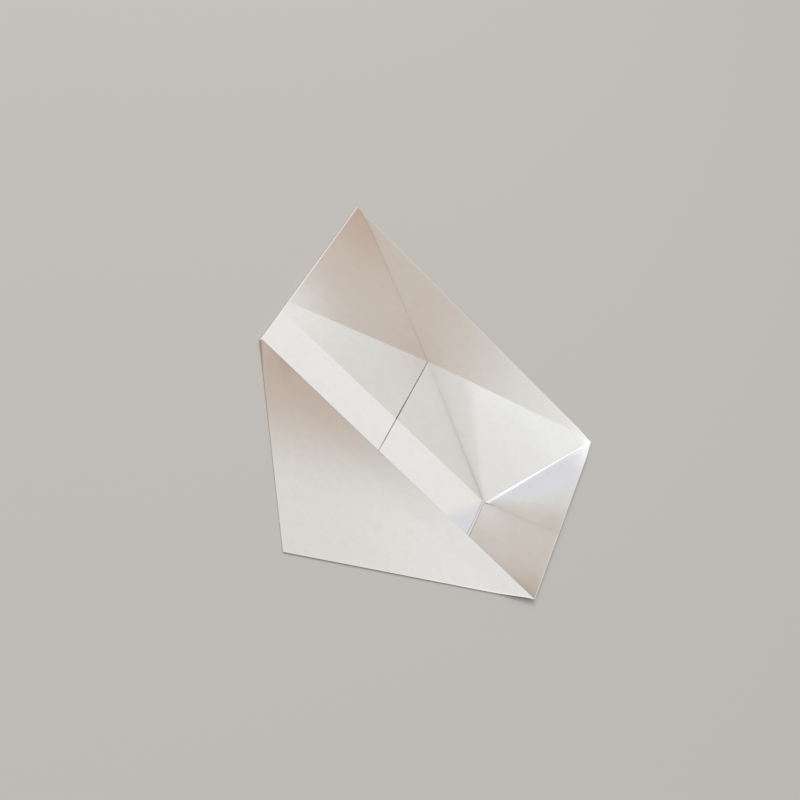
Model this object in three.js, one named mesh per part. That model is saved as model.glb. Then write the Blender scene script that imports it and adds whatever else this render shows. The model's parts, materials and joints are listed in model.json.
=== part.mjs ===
// Folded-paper glider: one sheet of A4 paper wrapped to half its width and pressed flat.
// Each panel between two creases is its own thin solid. Creases are hinge lines between panels.
// Frame: millimetres, +Z up. The pressed sheet lies on Z = 0, the rim crease runs along X and the
// side creases along Y. The origin is under the middle of the outline's box.
import * as THREE from "three";

// ---- driving dimensions -------------------------------------------------------------------
const SHEET_LONG = 297;                           // A4 sheet
const SHEET_SHORT = 210;
const PAPER = 0.2;                                // one ply
const GAP = 0.3;                                  // springy air gap between two plies
const CREASE_GAP = 0.15;                          // each panel stops this far short of a crease
const BAND_DEPTH = 0.19;                          // rim hem at the left crease, in folded depths
const FLAP_CREASE_DEPTH = 0.2564;                 // left flap's own crease at the same place
const HEM_HEIGHT = 0.2045;                        // free corner of the side hem, in folded depths
const HEM_CREASE_SLOPE = 0.5;                     // rise over run of the crease across the side hem

const width = SHEET_LONG / 2;                     // folded width, 148.5
const depth = SHEET_SHORT / 2;                    // folded depth, 105
const leftFlap = SHEET_SHORT - width;             // 61.5, where the two raw edges meet
const hemWidth = width / 4;
const noseReach = 2 * depth / 3;                  // how far the nose stands out from the rim
const pitch = PAPER + GAP;                        // height of one ply above the next

// ---- corners of the folded sheet, in plan, from the left end of the rim ---------------------
const point = (x, y) => new THREE.Vector2(x, y);
const topLeft = point(0, depth);
const rimLeft = point(0, 0);
const rimRight = point(width, 0);
const topRight = point(width, depth);
const noseTip = point(width / 3, -noseReach);     // a right angle, the sheet's own corner
const seamRim = point(leftFlap, 0);
const seamEnd = point(leftFlap, leftFlap);
const hemRim = point(width - hemWidth, 0);
const hemCorner = point(width - hemWidth, HEM_HEIGHT * depth);
const hemFold = point(width, hemCorner.y + HEM_CREASE_SLOPE * hemWidth);
const bandEnd = point(0, BAND_DEPTH * depth);
const flapCrease = point(0, FLAP_CREASE_DEPTH * depth);

// The crease from the seam's end through the hem's corner, carried on to the rim.
const creaseRun = (seamEnd.x - hemCorner.x) / (seamEnd.y - hemCorner.y);
const creaseFoot = point(hemCorner.x - hemCorner.y * creaseRun, 0);

// The sheet's corner that is folded in under the nose, mirrored in the nose's left edge.
const underCorner = point(2 * noseTip.x, -noseReach / 2);

// ---- helpers ----------------------------------------------------------------------------------
// Moves every edge of a counter-clockwise convex outline inwards by one distance.
function inset(corners, distance) {
  const lines = corners.map((corner, i) => {
    const along = corners[(i + 1) % corners.length].clone().sub(corner).normalize();
    const inward = point(-along.y, along.x);
    return { start: corner.clone().addScaledVector(inward, distance), along };
  });
  return lines.map((line, i) => {
    const before = lines[(i + lines.length - 1) % lines.length];
    const step = line.start.clone().sub(before.start).cross(line.along)
      / before.along.cross(line.along);
    return before.start.clone().addScaledVector(before.along, step);
  });
}

const whitePaper = { color: 0xf1f0ec, roughness: 0.88, metalness: 0 };

// A flat panel of one ply, at a numbered level of the stack.
function panel(name, level, corners) {
  const outline = new THREE.Shape(inset(corners, CREASE_GAP));
  const body = new THREE.ExtrudeGeometry(outline, { depth: PAPER, bevelEnabled: false });
  const mesh = new THREE.Mesh(body, new THREE.MeshStandardMaterial(whitePaper));
  mesh.name = name;
  mesh.position.z = level * pitch;
  return mesh;
}

// ---- the panels -------------------------------------------------------------------------------
// Level 0 rests on the table, level 3 is on top.
function basePanels() {
  return [
    panel("back_panel", 0, [rimLeft, rimRight, topRight, topLeft]),
    panel("rim_hem", 1, [rimLeft, hemRim, hemCorner, bandEnd]),
  ];
}

function leftFlapPanels() {
  return [
    panel("left_flap_main", 2, [rimLeft, seamRim, seamEnd, flapCrease]),
    panel("left_flap_tip", 2, [flapCrease, seamEnd, topLeft]),
  ];
}

function rightFlapPanels() {
  return [
    panel("right_flap_main", 2, [seamEnd, creaseFoot, rimRight, topRight]),
    panel("right_flap_tongue", 2, [seamRim, hemRim, hemCorner, seamEnd]),
  ];
}

function sideHemPanels() {
  return [
    panel("side_hem_lower", 3, [hemRim, rimRight, hemFold, hemCorner]),
    panel("side_hem_upper", 3, [hemCorner, hemFold, topRight]),
  ];
}

function nosePanels() {
  return [
    panel("nose_panel", 3, [rimLeft, noseTip, rimRight]),
    panel("nose_underfold", 0, [rimLeft, noseTip, underCorner]),
  ];
}

const glider = new THREE.Group();
glider.position.set(-width / 2, -(depth - noseReach) / 2, 0);
glider.add(
  ...basePanels(),
  ...leftFlapPanels(),
  ...rightFlapPanels(),
  ...sideHemPanels(),
  ...nosePanels(),
);

export default glider;
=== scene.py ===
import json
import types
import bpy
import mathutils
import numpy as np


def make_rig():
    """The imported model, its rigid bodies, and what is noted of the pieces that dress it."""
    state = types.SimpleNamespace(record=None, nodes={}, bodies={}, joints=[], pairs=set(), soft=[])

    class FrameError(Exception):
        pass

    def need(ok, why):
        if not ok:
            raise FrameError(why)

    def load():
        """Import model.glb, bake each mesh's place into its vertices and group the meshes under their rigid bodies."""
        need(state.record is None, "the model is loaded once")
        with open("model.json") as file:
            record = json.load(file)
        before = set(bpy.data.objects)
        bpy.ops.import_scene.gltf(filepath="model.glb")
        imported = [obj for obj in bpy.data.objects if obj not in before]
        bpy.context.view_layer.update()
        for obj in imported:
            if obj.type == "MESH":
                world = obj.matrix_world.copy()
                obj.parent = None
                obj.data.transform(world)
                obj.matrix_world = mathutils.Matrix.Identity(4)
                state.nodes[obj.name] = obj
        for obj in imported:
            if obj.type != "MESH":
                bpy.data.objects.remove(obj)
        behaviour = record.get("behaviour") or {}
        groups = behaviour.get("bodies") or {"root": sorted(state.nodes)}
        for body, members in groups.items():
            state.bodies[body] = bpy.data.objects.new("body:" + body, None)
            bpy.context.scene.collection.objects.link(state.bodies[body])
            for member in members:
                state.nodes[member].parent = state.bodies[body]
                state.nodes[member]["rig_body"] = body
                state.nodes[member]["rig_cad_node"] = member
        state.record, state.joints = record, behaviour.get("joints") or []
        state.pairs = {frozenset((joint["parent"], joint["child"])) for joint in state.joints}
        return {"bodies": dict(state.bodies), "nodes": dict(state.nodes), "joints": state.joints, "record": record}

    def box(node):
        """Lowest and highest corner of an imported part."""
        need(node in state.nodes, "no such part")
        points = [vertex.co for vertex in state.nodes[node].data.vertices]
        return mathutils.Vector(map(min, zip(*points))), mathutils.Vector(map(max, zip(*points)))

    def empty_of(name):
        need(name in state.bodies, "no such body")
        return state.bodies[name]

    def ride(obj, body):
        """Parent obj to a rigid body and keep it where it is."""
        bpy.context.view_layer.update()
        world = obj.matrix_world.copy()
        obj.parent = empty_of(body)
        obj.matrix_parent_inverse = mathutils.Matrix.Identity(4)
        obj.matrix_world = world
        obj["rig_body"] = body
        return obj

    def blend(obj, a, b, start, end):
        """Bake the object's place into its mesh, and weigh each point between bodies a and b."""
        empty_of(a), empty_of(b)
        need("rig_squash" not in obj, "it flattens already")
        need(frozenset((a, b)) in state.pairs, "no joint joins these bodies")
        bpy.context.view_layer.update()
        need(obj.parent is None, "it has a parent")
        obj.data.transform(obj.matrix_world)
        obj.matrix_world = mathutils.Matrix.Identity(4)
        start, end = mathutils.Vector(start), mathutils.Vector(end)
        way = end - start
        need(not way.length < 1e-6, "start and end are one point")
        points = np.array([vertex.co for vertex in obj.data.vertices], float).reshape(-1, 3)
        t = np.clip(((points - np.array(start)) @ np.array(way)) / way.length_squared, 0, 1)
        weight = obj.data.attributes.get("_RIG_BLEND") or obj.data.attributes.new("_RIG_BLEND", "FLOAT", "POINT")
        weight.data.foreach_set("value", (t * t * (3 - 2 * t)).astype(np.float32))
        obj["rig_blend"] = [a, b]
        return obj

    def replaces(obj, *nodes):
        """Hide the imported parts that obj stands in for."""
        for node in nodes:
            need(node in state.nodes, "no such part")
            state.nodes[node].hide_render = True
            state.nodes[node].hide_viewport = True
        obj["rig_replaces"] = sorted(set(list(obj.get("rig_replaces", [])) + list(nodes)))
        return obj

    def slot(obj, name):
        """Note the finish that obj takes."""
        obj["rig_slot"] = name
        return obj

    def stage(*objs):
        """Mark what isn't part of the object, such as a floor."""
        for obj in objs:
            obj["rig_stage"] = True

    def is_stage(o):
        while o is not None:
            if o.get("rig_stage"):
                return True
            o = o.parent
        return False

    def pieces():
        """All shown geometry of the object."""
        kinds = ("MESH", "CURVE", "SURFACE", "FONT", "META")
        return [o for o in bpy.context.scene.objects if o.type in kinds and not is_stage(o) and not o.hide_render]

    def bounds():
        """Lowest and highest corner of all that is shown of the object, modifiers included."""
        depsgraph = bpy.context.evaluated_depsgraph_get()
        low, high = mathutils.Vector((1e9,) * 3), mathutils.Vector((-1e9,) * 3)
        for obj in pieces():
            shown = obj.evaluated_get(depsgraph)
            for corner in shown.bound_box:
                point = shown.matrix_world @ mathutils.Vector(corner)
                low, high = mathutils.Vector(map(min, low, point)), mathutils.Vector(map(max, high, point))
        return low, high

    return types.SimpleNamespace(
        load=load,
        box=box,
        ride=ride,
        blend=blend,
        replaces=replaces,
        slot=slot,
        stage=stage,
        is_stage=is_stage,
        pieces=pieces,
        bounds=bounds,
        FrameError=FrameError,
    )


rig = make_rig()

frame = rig.load()
import json
import math

import bpy
from mathutils import Matrix, Vector
from mathutils.geometry import delaunay_2d_cdt

CAD_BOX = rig.bounds()
MM = 0.001                   # the scene is in metres

# ---- the sheet --------------------------------------------------------------------------------
PLY = 0.12 * MM              # real paper, thinner than the CAD plates that carry it
CELL = 1.6 * MM              # size of a facet of a panel's mesh
BACK_CELL = 2.0 * MM
HIDDEN_CELL = 3.0 * MM       # the same where the ply is covered
BOW = 0.28 * MM              # how far the middle of a panel springs up from its creases
BOW_REACH = 9.0 * MM         # how far from a crease the spring takes hold
BACK_RISE = 0.72 * MM        # how far the back panel springs up towards the flaps on it
EDGE_FREE = 0.65             # how free its top edge is: 0 lies on the table, 1 rises in full
NOSE_DROOP = 1.2 * MM        # how far the nose sinks from the rim towards the table
NOSE_SINKS_OVER = 13 * MM
PINCH = 14 * MM              # how far from a top corner the plies draw together
PINCHED_PLY = 0.17 * MM      # from one ply to the next where they are drawn together
SLIT = 0.22 * MM             # each flap stops this far short of the seam
FLAP_STEP = 2.3 * MM         # how far short of the sheet's corner the left flap's raw edge runs out
BAND_DEPTH = 0.19            # from the rim to the line that the rim hem presses through, at its
                             # left end, as a share of the back panel's depth
FOLD_BULGE = 0.3 * MM        # how far a fold stands out past its crease line
FOLD_STEPS = 10
SHARP_ANGLE = 35             # degrees; cut edges are sharp and folds are round

# The side hem's turned-up lip, and how its free edge rests on the ply below.
LIP_WIDTH = 1.25 * MM        # where it is widest
LIP_START = 1.7 * MM         # how far from the hem's corner that is
LIP_END = 0.5 * MM           # how far below the top right corner it runs out
LIP_RISE = 0.22 * MM
LIP_ROUND = 0.1 * MM         # rounds the rise off at the hem's corner
LIP_FADE = 5 * MM
EDGE_REST = 0.26 * MM        # how far the free edge sinks
EDGE_REST_REACH = 6 * MM

# The tongue's narrow turned edge beside the side hem.
STRIP_WIDTH = 1.1 * MM
STRIP_TAPER = 0.7            # its width at the hem's corner, as a share of that at the rim
GROOVE = 0.22 * MM

# ---- the camera, as the photographer held it --------------------------------------------------
CAMERA_LENS = 63.19          # mm, on the sensor below
CAMERA_SENSOR = 36.0
CAMERA_AZIMUTH = -16.26      # degrees
CAMERA_ELEVATION = 38.38
CAMERA_ROLL = 54.39
CAMERA_AIM = Vector((-15.0, 14.0, 0.8)) * MM
CAMERA_DISTANCE = 557.6 * MM


# ---- corners of the folded sheet, from the frame's hinges -------------------------------------
def hinge(name):
    """A point on a hinge's axis, and the axis's direction."""
    joint = next(j for j in frame["joints"] if j["name"] == name)
    return Vector(joint["pos_m"]), Vector(joint["axis"])


def plan(x, y):
    """A place on the sheet, seen from above."""
    return Vector((x, y))


def crossing(first, second):
    """Where two hinge lines cross, in plan."""
    (p, d), (q, e) = first, second
    s = ((q.x - p.x) * e.y - (q.y - p.y) * e.x) / (d.x * e.y - d.y * e.x)
    return plan(p.x + s * d.x, p.y + s * d.y)


left_x = hinge("left_flap_fold")[0].x
right_x = hinge("right_flap_fold")[0].x
rim_y = hinge("nose_fold")[0].y
crease_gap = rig.box("back_panel")[0].x - left_x
top_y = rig.box("back_panel")[1].y + crease_gap

top_left = plan(left_x, top_y)
top_right = plan(right_x, top_y)
rim_left = plan(left_x, rim_y)
rim_right = plan(right_x, rim_y)
left_crease = hinge("left_tip_fold")[0].xy
hem_corner = hinge("tongue_fold")[0].xy
seam_end = crossing(hinge("left_tip_fold"), hinge("tongue_fold"))
seam_rim = plan(seam_end.x, rim_y)
hem_rim = plan(hem_corner.x, rim_y)
hem_fold = crossing(hinge("hem_tip_fold"), hinge("right_flap_fold"))
crease_foot = crossing(hinge("tongue_fold"), hinge("nose_fold"))

# The nose's tip is a right angle: the foot of the perpendicular from the rim's right end to the
# nose's left edge.
nose_edge = -hinge("underfold_fold")[1].xy.normalized()
nose_tip = rim_left + nose_edge * (rim_right - rim_left).dot(nose_edge)
band_left = plan(left_x, rim_y + BAND_DEPTH * (top_y - rim_y))
flap_corner = plan(left_x + FLAP_STEP, top_y)
under_corner = plan(2 * nose_tip.x - rim_left.x, (nose_tip.y + rim_left.y) / 2)


def ply_height(node):
    """The height of the middle of a CAD plate."""
    low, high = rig.box(node)
    return (low.z + high.z) / 2


# ---- small numeric helpers --------------------------------------------------------------------
def smooth(t):
    """0 up to 0, 1 from 1 on, and a smooth rise between them."""
    t = min(1.0, max(0.0, t))
    return t * t * (3 - 2 * t)


def ramp(value, start, over):
    """0 up to start, then a smooth rise to 1 over the given distance."""
    return smooth((value - start) / over)


def line_distance(p, a, b):
    """Signed distance of p from the line a to b, positive on the left of it."""
    along = (b - a).normalized()
    return along.x * (p.y - a.y) - along.y * (p.x - a.x)


def nearest(p, a, b):
    """The place on the segment from a to b nearest to p: how far along, from 0 to 1, and where."""
    run = min(1.0, max(0.0, (p - a).dot(b - a) / (b - a).length_squared))
    return run, a.lerp(b, run)


def mix(a, b, t):
    return tuple(x + (y - x) * t for x, y in zip(a, b))


# ---- how painted shade, and the painted glow of light bounced off the table, colour the paper ---
# Depth is painted shade: 0 is clean paper, GREY_AT is neutral grey, 1 is the warm brown of the deepest shade, and a
# negative depth is a painted highlight, as on paper that faces the light.
# BRIGHT is the painted highlight, GREY and WARM are the painted shade, COOL is the painted cool light, and BLACK is
# the painted shadow.
BRIGHT = (1.17, 1.19, 1.20)
CLEAN = (1.0, 1.0, 0.985)
GREY = (0.848, 0.839, 0.811)
WARM = (0.656, 0.545, 0.474)
COOL = (0.87, 0.87, 0.96)
BLACK = (0.0, 0.0, 0.0)
BRIGHT_AT = -0.2
GREY_AT = 0.44
DEEPEST = 1.3


def painted_shade_colour(depth, cool=0.0, shadow=0.0):
    """The paper's colour with painted shade: its depth of painted shade, then mixed towards painted cool light and
    painted shadow's black.
    """
    if depth < 0:
        colour = mix(CLEAN, BRIGHT, depth / BRIGHT_AT)
    elif depth < GREY_AT:
        colour = mix(CLEAN, GREY, depth / GREY_AT)
    else:
        colour = mix(GREY, WARM, (min(depth, DEEPEST) - GREY_AT) / (1 - GREY_AT))
    return mix(mix(colour, COOL, cool), BLACK, shadow)


def spots(p, *patches):
    """Soft round patches of painted shade, each a place, a radius in mm, and an amount; a negative amount is a painted
    highlight.
    """
    return sum(amount * math.exp(-((p - place).length / (radius * MM)) ** 2)
               for place, radius, amount in patches)


def hug(p, line, reach, start, end):
    """Painted shade that hugs a line, start deep at its first end and end deep at its second; taken away, it is a
    painted highlight.
    """
    run, place = nearest(p, *line)
    return (start + (end - start) * run) * math.exp(-(p - place).length / reach)


# ---- the sheet's meshes -----------------------------------------------------------------------
KEEP_INSIDE = 1              # delaunay_2d_cdt's output type for the triangles inside the outline
WELD = 0.001                 # mm between points that it takes as one


def spread(a, b, cell):
    """Points from a to just short of b, about a cell apart."""
    count = max(1, round((b - a).length / cell))
    return [a.lerp(b, i / count) for i in range(count)]


def clear_of(p, lines, distance):
    return all((p - nearest(p, a, b)[1]).length >= distance for a, b in lines)


def lattice(outline, lines, cell):
    """A triangular lattice of points inside a convex outline, clear of the lines."""
    sides = list(zip(outline, outline[1:] + outline[:1]))
    row = cell * math.sqrt(3) / 2
    low = plan(min(p.x for p in outline), min(p.y for p in outline))
    high = plan(max(p.x for p in outline), max(p.y for p in outline))
    points = []
    for j in range(int((high.y - low.y) / row) + 1):
        for i in range(int((high.x - low.x) / cell) + 1):
            p = low + plan((i + (j % 2) / 2) * cell, j * row)
            inside = all(line_distance(p, a, b) > cell / 2 for a, b in sides)
            if inside and clear_of(p, lines, cell / 2):
                points.append(p)
    return points


def clipped(line, outline):
    """The part of a line that is inside a convex outline, as a list of none or one."""
    a, b = line
    start, end = 0.0, 1.0
    for c, d in zip(outline, outline[1:] + outline[:1]):
        near, far = line_distance(a, c, d), line_distance(b, c, d)
        if max(near, far) <= 0:
            return []
        if near < 0:
            start = max(start, near / (near - far))
        if far < 0:
            end = min(end, near / (near - far))
    return [(a.lerp(b, start), a.lerp(b, end))] if end > start else []


def triangles(outline, lines, cell):
    """The points and triangles of a convex outline, with edges along each of the lines."""
    lines = [part for line in lines for part in clipped(line, outline)]
    points = []
    for a, b in zip(outline, outline[1:] + outline[:1]):
        points += spread(a, b, cell)
    edges = [(i, (i + 1) % len(points)) for i in range(len(points))]
    for a, b in lines:
        start = len(points)
        points += spread(a, b, cell) + [b]
        edges += [(i, i + 1) for i in range(start, len(points) - 1)]
    points += lattice(outline, lines, cell)
    places, _, faces, *_ = delaunay_2d_cdt([p / MM for p in points], edges, [], KEEP_INSIDE, WELD)
    return [p * MM for p in places], faces


def make_mesh(name, points, faces, colours=None):
    mesh = bpy.data.meshes.new(name)
    mesh.from_pydata(points, [], faces)
    if colours:
        layer = mesh.color_attributes.new("shade", "FLOAT_COLOR", "CORNER")
        flat = [c for face in colours for c in face]
        for item, c in zip(layer.data, flat):
            item.color = (*c, 1.0)
    mesh.polygons.foreach_set("use_smooth", [True] * len(mesh.polygons))
    mesh.set_sharp_from_angle(angle=math.radians(SHARP_ANGLE))
    obj = bpy.data.objects.new(name, mesh)
    bpy.context.scene.collection.objects.link(obj)
    return obj


def ply(name, outline, height, paint, lines=(), cell=CELL):
    """A closed sheet one ply thick: upper face, lower face, and a wall along its edge.

    paint(p, side) gives painted_shade_colour's arguments (painted shade, cool light and shadow) at p, for a facet
    whose middle is side.
    """
    places, tops = triangles(outline, list(lines), cell)
    count = len(places)
    points = [(p.x, p.y, height(p) + PLY / 2) for p in places]
    points += [(p.x, p.y, height(p) - PLY / 2) for p in places]
    faces, colours, border = [], [], {}
    for face in tops:
        middle = sum((places[k] for k in face), plan(0, 0)) / len(face)
        shades = [painted_shade_colour(*paint(places[k], middle)) for k in face]
        faces += [list(face), [k + count for k in reversed(face)]]
        colours += [shades, shades[::-1]]
        for k, a in enumerate(face):
            after = (k + 1) % len(face)
            if border.pop((face[after], a), None) is None:
                border[(a, face[after])] = (shades[k], shades[after])
    for (a, b), (near, far) in border.items():
        faces.append([b, a, a + count, b + count])
        colours.append([far, near, near, far])
    return make_mesh(name, points, faces, colours)


# ---- relief: panels spring up between the creases that hold them ------------------------------
# A height is a function of the place on the sheet, in plan.
def sprung(base, creases):
    """Height of a ply that lies at base along its creases and bows up between them."""
    def height(p):
        held = 1.0
        for a, b in creases:
            held *= smooth(abs(line_distance(p, a, b)) / BOW_REACH)
        return base + BOW * held
    return height


def pinched(height, corner, plies):
    """The same ply, drawn down at a corner onto the plies below it."""
    lowest = ply_height("back_panel") + plies * PINCHED_PLY

    def lowered(p):
        return lowest + (height(p) - lowest) * smooth((p - corner).length / PINCH)
    return lowered


# ---- paper ------------------------------------------------------------------------------------
ALBEDO = 0.76
TOOTH = 0.022                # how far the paper's tooth varies the albedo either way
CLOUD = 0.015                # the same for the pulp's clouds, as a share of it
SMOOTHEST, ROUGHEST = 0.78, 0.9
SPECULAR = 0.22
FIBRE_STRENGTH = 0.3
FIBRE_HEIGHT = 0.02 * MM
CLOUD_NOISE = (260.0, 3.0)   # scale and detail
ROUGHNESS_NOISE = (700.0, 2.0)
TOOTH_NOISE = (1300.0, 4.0, 0.65)       # scale, detail and the noise's own roughness
FIBRE_NOISE = (2200.0, 3.0)
USUAL_LOW, USUAL_HIGH = 0.3, 0.7        # where nearly all of a noise's values are
MIX_FIRST, MIX_SECOND, MIX_RESULT = 6, 7, 2        # a Mix node's colour sockets


def noise(tree, scale, detail, roughness=0.5):
    """A noise that is fixed to the piece."""
    place = tree.nodes.new("ShaderNodeTexCoord")
    node = tree.nodes.new("ShaderNodeTexNoise")
    node.inputs["Scale"].default_value = scale
    node.inputs["Detail"].default_value = detail
    node.inputs["Roughness"].default_value = roughness
    tree.links.new(place.outputs["Object"], node.inputs["Vector"])
    return node.outputs["Fac"]


def ranged(tree, value, low, high):
    """A noise value, stretched from its usual spread to low and high."""
    node = tree.nodes.new("ShaderNodeMapRange")
    node.inputs["From Min"].default_value = USUAL_LOW
    node.inputs["From Max"].default_value = USUAL_HIGH
    node.inputs["To Min"].default_value = low
    node.inputs["To Max"].default_value = high
    tree.links.new(value, node.inputs["Value"])
    return node.outputs["Result"]


def multiplied(tree, first, second):
    """The product of two colours."""
    node = tree.nodes.new("ShaderNodeMix")
    node.data_type = "RGBA"
    node.blend_type = "MULTIPLY"
    node.inputs["Factor"].default_value = 1.0
    tree.links.new(first, node.inputs[MIX_FIRST])
    tree.links.new(second, node.inputs[MIX_SECOND])
    return node.outputs[MIX_RESULT]


def paper_material():
    """Uncoated white paper: cloudy pulp, fine tooth, and faint fibres, times the painted shade held in each mesh's
    'shade' colour attribute.
    """
    material = bpy.data.materials.new("white_paper")
    material.use_nodes = True
    tree = material.node_tree
    shader = tree.nodes["Principled BSDF"]
    shader.inputs["Specular IOR Level"].default_value = SPECULAR

    # The painted shade, painted highlights and painted shadows that each mesh carries in its 'shade' colour attribute.
    shade = tree.nodes.new("ShaderNodeAttribute")
    shade.attribute_name = "shade"
    cloud = ranged(tree, noise(tree, *CLOUD_NOISE), 1 - CLOUD, 1 + CLOUD)
    tooth = ranged(tree, noise(tree, *TOOTH_NOISE), ALBEDO - TOOTH, ALBEDO + TOOTH)
    pulp = multiplied(tree, cloud, tooth)
    tree.links.new(multiplied(tree, pulp, shade.outputs["Color"]), shader.inputs["Base Color"])
    roughness = ranged(tree, noise(tree, *ROUGHNESS_NOISE), SMOOTHEST, ROUGHEST)
    tree.links.new(roughness, shader.inputs["Roughness"])

    fibres = tree.nodes.new("ShaderNodeBump")
    fibres.inputs["Strength"].default_value = FIBRE_STRENGTH
    fibres.inputs["Distance"].default_value = FIBRE_HEIGHT
    tree.links.new(noise(tree, *FIBRE_NOISE), fibres.inputs["Height"])
    tree.links.new(fibres.outputs["Normal"], shader.inputs["Normal"])
    return material


PAPER = paper_material()


def finish_piece(obj):
    """Gives a mesh its paper."""
    obj.data.materials.append(PAPER)
    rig.slot(obj, "white_paper")
    return obj


def panel(node, body, outline, height, paint, lines=(), cell=CELL):
    """The paper that replaces one CAD plate and rides on its body."""
    obj = finish_piece(ply("paper_" + node, outline, height, paint, lines, cell))
    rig.ride(obj, body)
    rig.replaces(obj, node)


# ---- the panels -------------------------------------------------------------------------------
LEFT_SIDE = (rim_left, top_left)
RIGHT_SIDE = (rim_right, top_right)
RIM = (rim_left, rim_right)
TOP = (top_left, top_right)
LEFT_CREASE = (left_crease, seam_end)
LONG_CREASE = (seam_end, hem_corner)
HEM_CREASE = (hem_corner, hem_fold)
BAND_LINE = (band_left, hem_corner)

# Depths of painted shade on the facets, in painted_shade_colour's terms; a negative depth is a painted highlight.
BACK_SHADE = 0.86            # at the left end; the panel fades to clean paper at the right
HIDDEN_HEM_SHADE = 0.5
FLAP_SHADE, FLAP_MORE = 0.09, 0.36      # at the left side, and how much more at the seam
TIP_SHADE = 0.84
WING_GREY, WING_GREY_LESS = 0.48, 0.14  # at the long crease, and how much less at the fan's edge
WING_LIT, WING_LIT_LESS = 0.17, 0.24    # painted light at the hem's corner, and how much less far from it
TONGUE_SHADE = 0.45
# painted shade and painted cool light on the tongue's strip
STRIP_SHADE, STRIP_COOL = 0.34, 0.4
CORNER_SHADE, CORNER_COOL = 0.34, 0.7   # painted bluish shade in the tongue's corner at the rim, beside the strip
GROOVE_SHADE, GROOVE_SHADOW = 0.4, 0.42
HEM_SHADE = 0.69
HEM_TIP_SHADE, HEM_TIP_LESS = 0.62, 0.46        # at its crease, and how much less at the lip
# the brightest painted highlight on the hem's tip, and its painted cool light
HEM_TIP_BRIGHTEST, HEM_TIP_COOL = -0.3, 0.8
LIP_SHADE, LIP_LESS = -0.1, 0.2         # painted highlight on the lip: at the hem's corner, and how much less along the lip
NOSE_WARM = 0.98                        # painted warm shade at the rim's left end
NOSE_CLEAN, NOSE_CLEAN_MORE = 0.06, 0.29        # at its right end, and how much more at the tip
UNDERFOLD_SHADE = 0.3
LEFT_FOLD_SHADE = 0.3

# Where those shades change, and how far the painted lines reach.
EDGE_HIGHLIGHT_REACH = 0.4 * MM   # the painted highlight along a cut edge
FLAP_EDGE_REACH = 0.4 * MM   # the shadow on the left flap's raw edge
UNDER_EDGE_REACH = 0.5 * MM  # the shadow below it, on the back panel
FAN_SPREAD = 21              # degrees between the long crease and the edge of its fan of painted grey shade
FAN_BLUR, FAN_BLUR_MORE = 4, 9          # degrees at the hem's corner, and how many more far from it
FAN_BLUR_REACH = 60 * MM
WING_LIT_REACH = 75 * MM
COOL_WIDTH = 12 * MM         # the tongue's corner of painted bluish shade, along the rim
COOL_FADE = 6 * MM
COOL_PAST = 2.5 * MM         # how far past the corner's edge its fade ends
LIP_BRIGHTENS_OVER = 20 * MM
LEFT_FOLD_FADE = 60 * MM


def aside(p, x=0.0, y=0.0):
    return plan(p.x + x, p.y + y)


def beside(line, offset):
    """The line moved sideways, positive to its left."""
    a, b = line
    along = (b - a).normalized()
    step = plan(-along.y, along.x) * offset
    return a + step, b + step


def rows(line, steps, side=1):
    """Lines at these steps in mm to one side of a line, so that the mesh carries its shade."""
    return [beside(line, side * step * MM) for step in steps]


def above_band(p):
    return line_distance(p, *BAND_LINE) > 0


def back_panel():
    base = ply_height("back_panel")
    raw_edge = (flap_corner, seam_end)

    def height(p):
        """The panel is held on three sides, and its top edge stands a little off the table."""
        free = ramp(p.y, hem_corner.y, 2 * BOW_REACH)
        free *= smooth((top_y - p.y) / BOW_REACH + EDGE_FREE)
        free *= ramp(p.x, left_x, BOW_REACH) * smooth((right_x - p.x) / BOW_REACH)
        return base + BACK_RISE * free

    # Painted shade: warm at the left and clean paper at the right, with painted highlights at the top right corner and
    # along the top edge, and a painted shadow below the left flap's raw edge.
    def paint(p, side):
        run = (p.x - left_x) / (right_x - left_x)
        depth = BACK_SHADE - ramp(run, start=0.3, over=0.85)
        depth += spots(p, (top_left, 14, 0.1), (seam_end, 14, 0.07), (top_right, 12, -0.15))
        depth -= hug(p, TOP, EDGE_HIGHLIGHT_REACH, start=0.4, end=0.2)
        return depth, 0.0, hug(p, raw_edge, UNDER_EDGE_REACH, start=0.16, end=0.16)

    panel("back_panel", "base", [rim_left, rim_right, top_right, top_left], height, paint,
          [raw_edge, *rows(raw_edge, (0.5, 1.2)), *rows(TOP, (0.4, 1.2), side=-1)], BACK_CELL)


def rim_hem():
    panel("rim_hem", "base", [rim_left, hem_rim, hem_corner, band_left],
          sprung(ply_height("rim_hem"), []), lambda p, side: (HIDDEN_HEM_SHADE,), cell=HIDDEN_CELL)


def left_flap():
    base = ply_height("left_flap_main")
    seam_low, seam_top = aside(seam_rim, -SLIT), aside(seam_end, -SLIT, -SLIT / 2)
    edge = (seam_end, flap_corner)

    def paint(p, side):
        """Clean paper below the band's line, and grey painted shade towards the seam above it."""
        if not above_band(side):
            return 0.0,
        run = (p.x - left_x) / (seam_end.x - left_x)
        greyer = smooth(0.1 + 1.35 * run)        # begun at the left side, and full before the seam
        return FLAP_SHADE + FLAP_MORE * greyer + spots(p, (seam_end, 18, 0.2)),

    # Painted warm shade, lighter towards the left crease, with a painted shadow along the raw edge.
    def tip_paint(p, side):
        depth = TIP_SHADE
        depth += spots(p, (top_left, 28, 0.3), (seam_end, 18, 0.1), (left_crease, 19, -0.44))
        return depth, 0.0, hug(p, edge, FLAP_EDGE_REACH, start=0.2, end=0.2)

    panel("left_flap_main", "left_flap", [rim_left, seam_low, seam_top, left_crease],
          sprung(base, [LEFT_SIDE, RIM, LEFT_CREASE]), paint, [BAND_LINE])
    panel("left_flap_tip", "left_tip", [left_crease, seam_end, flap_corner, top_left],
          pinched(sprung(base, [LEFT_SIDE, LEFT_CREASE]), top_left, 1), tip_paint,
          rows(edge, (0.4, 1.0)))


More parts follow.
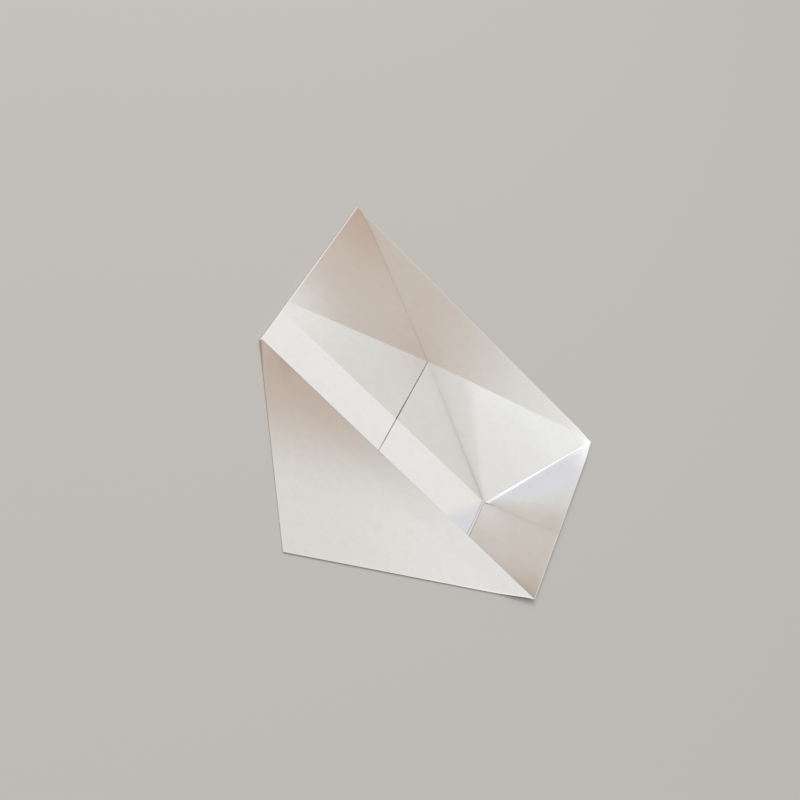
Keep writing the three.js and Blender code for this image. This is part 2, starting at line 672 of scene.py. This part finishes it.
def wing_shade(p):
    """The wing's painted light by the long crease, with a soft fan of painted grey shade that spreads from the hem's
    corner.
    """
    crease_angle = math.atan2(*(seam_end - hem_corner).yx)
    fan_angle = crease_angle - math.radians(FAN_SPREAD)
    away = p - hem_corner
    angle = math.atan2(away.y, away.x)
    blur = math.radians(FAN_BLUR + FAN_BLUR_MORE * min(1.0, away.length / FAN_BLUR_REACH))
    lit = smooth((fan_angle + blur / 2 - angle) / blur)
    grey = WING_GREY - WING_GREY_LESS * (crease_angle - angle) / (crease_angle - fan_angle)
    light = WING_LIT - WING_LIT_LESS * smooth(away.length / WING_LIT_REACH)
    return grey + (light - grey) * lit + spots(p, (top_right, 9, -0.22), (seam_end, 14, 0.1))


def long_crease_shadow(p):
    """Painted shadow in the long crease: a soft dark valley, deeper towards the hem's corner."""
    soft = hug(p, LONG_CREASE, reach=2.4 * MM, start=0.03, end=0.10)
    return soft + hug(p, LONG_CREASE, reach=0.6 * MM, start=0.05, end=0.16)


LONG_CREASE_ROWS = (0.6, 1.3, 2.4, 4.0)


def right_flap():
    height = sprung(ply_height("right_flap_main"), [LONG_CREASE, RIGHT_SIDE, RIM])
    panel("right_flap_main", "right_flap", [seam_end, crease_foot, rim_right, top_right],
          pinched(height, top_right, 1),
          lambda p, side: (wing_shade(p), 0.0, long_crease_shadow(p)),
          rows(LONG_CREASE, LONG_CREASE_ROWS))


def tongue():
    seam_low, seam_top = aside(seam_rim, SLIT), aside(seam_end, SLIT, -SLIT / 2)
    foot = aside(hem_rim, -GROOVE / 3)
    strip_edge = (aside(hem_rim, -STRIP_WIDTH), aside(hem_corner, -STRIP_TAPER * STRIP_WIDTH))
    groove_edge = beside(strip_edge, GROOVE)
    cool_edge = (aside(hem_rim, -COOL_WIDTH), hem_corner)

    def in_strip(p):
        return line_distance(p, *strip_edge) < 0

    def in_groove(p):
        return not in_strip(p) and line_distance(p, *groove_edge) < 0

    # Painted shade: a painted shadow in the groove, painted shade with painted cool light on the strip, grey painted
    # shade above the band's line with the long crease's painted shadow, and painted bluish shade in the corner by the
    # rim.
    def paint(p, side):
        if in_groove(side):
            return GROOVE_SHADE, 0.0, GROOVE_SHADOW
        if in_strip(side):
            return STRIP_SHADE, STRIP_COOL
        if above_band(side):
            return TONGUE_SHADE + spots(p, (seam_end, 10, 0.06)), 0.0, long_crease_shadow(p)
        near = smooth((COOL_PAST - line_distance(p, *cool_edge)) / COOL_FADE)
        return CORNER_SHADE * near, CORNER_COOL * near

    panel("right_flap_tongue", "tongue", [seam_low, foot, hem_corner, seam_top],
          sprung(ply_height("right_flap_tongue"), [LONG_CREASE, RIM]), paint,
          [BAND_LINE, strip_edge, groove_edge, *rows(LONG_CREASE, LONG_CREASE_ROWS, side=-1)])


def hem_crease_shadow(p):
    """Painted shadow in the crease across the side hem, dark at the hem's corner and faint at the right edge."""
    return hug(p, HEM_CREASE, reach=1.1 * MM, start=0.13, end=0.055)


def side_hem():
    held = sprung(ply_height("side_hem_lower"), [HEM_CREASE, RIGHT_SIDE, RIM])
    free_edge = (hem_rim, hem_corner)

    def height(p):
        """The free edge beside the tongue rests on the ply below it."""
        return held(p) - EDGE_REST * (1 - smooth(-line_distance(p, *free_edge) / EDGE_REST_REACH))

    # Painted shade, with a painted highlight at the hem's corner and painted shadows along the rim and the crease.
    def paint(p, side):
        depth = HEM_SHADE + spots(p, (hem_corner, 10, -0.22), (rim_right, 13, 0.3))
        rim_shadow = hug(p, (hem_rim, rim_right), reach=2.0 * MM, start=0.07, end=0.22)
        return depth, 0.0, hem_crease_shadow(p) + rim_shadow

    panel("side_hem_lower", "side_hem", [hem_rim, rim_right, hem_fold, hem_corner], height, paint,
          [*rows(HEM_CREASE, (0.7, 1.6), side=-1), *rows(RIM, (0.7, 1.6, 3.0))])


def side_hem_tip():
    raw_edge = (top_right, hem_corner)
    along = (top_right - hem_corner).normalized()
    across = plan(along.y, -along.x)
    lip_foot = hem_corner + along * LIP_START + across * LIP_WIDTH
    lip_front, lip_back = (hem_corner, lip_foot), (lip_foot, aside(top_right, 0, -LIP_END))
    crease_angle = math.atan2(*(hem_fold - hem_corner).yx)
    edge_angle = math.atan2(*along.yx)
    held = pinched(sprung(ply_height("side_hem_upper"), [HEM_CREASE, RIGHT_SIDE]), top_right, 2)

    def height(p):
        """The lip rises from the raw edge to its foot, so that it faces the window."""
        inner = max(0.0, line_distance(p, *raw_edge))
        before = max(0.0, line_distance(p, *lip_back))
        beyond = max(0.0, -line_distance(p, *lip_back))
        rise = inner / (inner + before + LIP_ROUND) * (1 - smooth(beyond / LIP_FADE))
        return held(p) + LIP_RISE * rise * smooth(line_distance(p, *HEM_CREASE) / LIP_FADE)

    def on_lip(p):
        return line_distance(p, *lip_front) > 0 and line_distance(p, *lip_back) > 0

    def paint(p, side):
        """Painted warm shade at the hem's crease, then a painted cool fan that turns to a painted highlight at the top
        corner; the lip carries a painted highlight.
        """
        away = p - hem_corner
        if on_lip(side):
            return LIP_SHADE - LIP_LESS * smooth(away.length / LIP_BRIGHTENS_OVER),
        angle = math.atan2(away.y, away.x) if away.length > MM else crease_angle
        sweep = (angle - crease_angle) / (edge_angle - crease_angle)
        depth = HEM_TIP_SHADE - HEM_TIP_LESS * ramp(sweep, start=0.15, over=0.75)
        depth += spots(p, (hem_fold, 12, 0.13), (top_right, 24, -0.6))
        cool = HEM_TIP_COOL * ramp(sweep, start=0.45, over=0.4)
        cool *= 1 - spots(p, (top_right, 22, 1.0))
        return max(depth, HEM_TIP_BRIGHTEST), cool, hem_crease_shadow(p)

    panel("side_hem_upper", "hem_tip", [hem_corner, hem_fold, top_right], height, paint,
          [lip_front, lip_back, *rows(HEM_CREASE, (0.7, 1.6))])


def nose_height(p):
    """The nose sinks from the rim's height towards the table."""
    return ply_height("nose_panel") - NOSE_DROOP * smooth((rim_y - p.y) / NOSE_SINKS_OVER)


def nose_shade(p):
    """Painted warm shade at the rim's left end, fading in bands that run along the nose's right side."""
    away = line_distance(p, nose_tip, rim_right) / line_distance(rim_left, nose_tip, rim_right)
    run = (rim_right - p).length / (rim_right - nose_tip).length
    clean = NOSE_CLEAN + NOSE_CLEAN_MORE * ramp(run, start=0.2, over=0.8)
    warm = ramp(away, start=0.23, over=0.6)
    return clean + (NOSE_WARM - clean) * warm + spots(p, (aside(rim_left, 12 * MM), 6, 0.15))


def nose():
    right_side = (nose_tip, rim_right)

    # The nose's painted shade, with a painted highlight along its right side and a painted shadow along the rim.
    def paint(p, side):
        depth = nose_shade(p) - hug(p, right_side, EDGE_HIGHLIGHT_REACH, start=0.1, end=0.35)
        return depth, 0.0, hug(p, RIM, reach=0.6 * MM, start=0.11, end=0.02)

    panel("nose_panel", "nose", [rim_left, nose_tip, rim_right], nose_height, paint,
          [*rows(RIM, (0.5, 1.3), side=-1), *rows(right_side, (0.4, 1.0))])
    panel("nose_underfold", "underfold", [rim_left, nose_tip, under_corner],
          sprung(ply_height("nose_underfold"), []), lambda p, side: (UNDERFOLD_SHADE,),
          cell=HIDDEN_CELL)


back_panel()
rim_hem()
left_flap()
right_flap()
tongue()
side_hem()
side_hem_tip()
nose()


# ---- folded edges -----------------------------------------------------------------------------
def fold_strip(name, start, end, low, high, bulge, bodies, shade):
    """The rounded edge of a fold from start to end, between the heights low(p) and high(p).

    It stands out to the left of start to end by bulge, or to the right where bulge is negative.
    """
    along = (end - start).normalized()
    outward = plan(-along.y, along.x) * (1 if bulge > 0 else -1)
    count = max(2, round((end - start).length / (2 * CELL)))
    points, faces = [], []
    for side in (1, -1):
        for i in range(count + 1):
            p = start + (end - start) * i / count
            centre, radius = (low(p) + high(p)) / 2, (high(p) - low(p)) / 2 + side * PLY / 2
            for k in range(FOLD_STEPS + 1):
                angle = math.pi * (k / FOLD_STEPS - 0.5)
                q = p + outward * (abs(bulge) + side * PLY / 2) * math.cos(angle)
                points.append((q.x, q.y, centre + radius * math.sin(angle)))

    # The outer shell's points come first, a row of stride points at each place, then the inner's.
    stride, shell = FOLD_STEPS + 1, (count + 1) * (FOLD_STEPS + 1)
    for i in range(count):
        for k in range(FOLD_STEPS):
            a = i * stride + k
            faces.append([a, a + stride, a + stride + 1, a + 1])
            faces.append([a + shell + 1, a + shell + stride + 1, a + shell + stride, a + shell])
    bottom = [i * stride for i in range(count + 1)]
    top = [i * stride + FOLD_STEPS for i in range(count + 1)]
    first = list(range(stride))
    last = [count * stride + k for k in range(stride)]
    for border, flip in ((bottom, True), (top, False), (first, False), (last, True)):
        for a, b in zip(border, border[1:]):
            face = [a, b, b + shell, a + shell]
            faces.append(face[::-1] if flip else face)
    if bulge > 0:                # mirrored, so the faces are turned to point outwards again
        faces = [face[::-1] for face in faces]

    colours = [[painted_shade_colour(shade(plan(*points[k][:2]))) for k in face] for face in faces]
    obj = finish_piece(make_mesh(name, points, faces, colours))
    middle = (start + end) / 2
    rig.blend(obj, bodies[0], bodies[1], (*middle, low(middle)), (*middle, high(middle)))


def level(node):
    """The height of a flat ply."""
    height = ply_height(node)
    return lambda p: height


# Painted shade along the left fold, deepening towards its top.
def left_fold_shade(p):
    return LEFT_FOLD_SHADE * ramp(p.y, left_crease.y, LEFT_FOLD_FADE)


left_edge = pinched(level("left_flap_main"), top_left, 1)
right_edge = pinched(level("right_flap_main"), top_right, 1)
hem_edge = pinched(level("side_hem_lower"), top_right, 2)
fold_strip("paper_fold_left", rim_left, top_left, level("back_panel"), left_edge,
           FOLD_BULGE, ("base", "left_flap"), left_fold_shade)
fold_strip("paper_fold_right", rim_right, top_right, level("back_panel"), right_edge,
           -FOLD_BULGE, ("base", "right_flap"), lambda p: 0.0)
# The hem's fold is painted with a highlight; the rim's and the nose's folds take the nose's painted shade.
fold_strip("paper_fold_hem", rim_right, top_right, right_edge, hem_edge,
           -FOLD_BULGE, ("right_flap", "side_hem"), lambda p: BRIGHT_AT)
fold_strip("paper_fold_rim", rim_left, rim_right, level("back_panel"), level("nose_panel"),
           -FOLD_BULGE / 2, ("base", "nose"), nose_shade)
fold_strip("paper_fold_nose", nose_tip, rim_left, level("nose_underfold"), nose_height,
           FOLD_BULGE / 2, ("nose", "underfold"), nose_shade)


# ---- floor, light and camera ------------------------------------------------------------------
FLOOR_COLOUR = (0.50, 0.485, 0.465, 1)
FLOOR_ROUGHNESS = 0.9
FLOOR_REACH = 4.0            # m from the origin to each side
WORLD_COLOUR = (1.0, 0.99, 0.965, 1)
WORLD_STRENGTH = 0.51
WINDOW_COLOUR = (1.0, 0.985, 0.96)


def make_floor():
    material = bpy.data.materials.new("studio_floor")
    material.use_nodes = True
    shader = material.node_tree.nodes["Principled BSDF"]
    shader.inputs["Base Color"].default_value = FLOOR_COLOUR
    shader.inputs["Roughness"].default_value = FLOOR_ROUGHNESS
    r = FLOOR_REACH
    corners = [(-r, -r, 0), (r, -r, 0), (r, r, 0), (-r, r, 0)]
    floor = make_mesh("studio_floor", corners, [[0, 1, 2, 3]])
    floor.data.materials.append(material)
    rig.stage(floor)


def area_light(name, direction, distance, size, power, colour=(1, 1, 1)):
    """A square light that faces the object, in metres and watts. direction leads to the light."""
    light = bpy.data.lights.new(name, "AREA")
    light.energy, light.size, light.color = power, size, colour
    obj = bpy.data.objects.new(name, light)
    obj.location = CAMERA_AIM + Vector(direction).normalized() * distance
    obj.rotation_euler = (CAMERA_AIM - obj.location).to_track_quat("-Z", "Y").to_euler()
    bpy.context.scene.collection.objects.link(obj)


def make_lights():
    world = bpy.data.worlds.new("studio")
    bpy.context.scene.world = world
    world.use_nodes = True
    background = world.node_tree.nodes["Background"]
    background.inputs["Color"].default_value = WORLD_COLOUR
    background.inputs["Strength"].default_value = WORLD_STRENGTH
    area_light("window", direction=(-1.0, 0.55, 0.95), distance=2.4, size=1.3, power=31.0,
               colour=WINDOW_COLOUR)
    area_light("overhead", direction=(0.1, -0.1, 1.0), distance=2.0, size=1.6, power=10.0)


def make_camera():
    """Placed about its aim by azimuth and elevation, then rolled."""
    azimuth, elevation = math.radians(CAMERA_AZIMUTH), math.radians(CAMERA_ELEVATION)
    back = Vector((math.sin(azimuth) * math.cos(elevation),
                   -math.cos(azimuth) * math.cos(elevation), math.sin(elevation)))
    data = bpy.data.cameras.new("camera")
    data.lens, data.sensor_width = CAMERA_LENS, CAMERA_SENSOR
    camera = bpy.data.objects.new("camera", data)
    level_turn = (-back).to_track_quat("-Z", "Y").to_matrix().to_4x4()
    roll = Matrix.Rotation(math.radians(CAMERA_ROLL), 4, "Z")
    place = Matrix.Translation(CAMERA_AIM + back * CAMERA_DISTANCE)
    camera.matrix_world = place @ level_turn @ roll
    bpy.context.scene.collection.objects.link(camera)
    bpy.context.scene.camera = camera


make_floor()
make_lights()
make_camera()
bpy.context.scene.view_settings.view_transform = "Standard"     # white paper stays white

with open("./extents.json", "w") as out:
    json.dump({"cad": [list(v) for v in CAD_BOX], "visual": [list(v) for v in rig.bounds()]}, out)
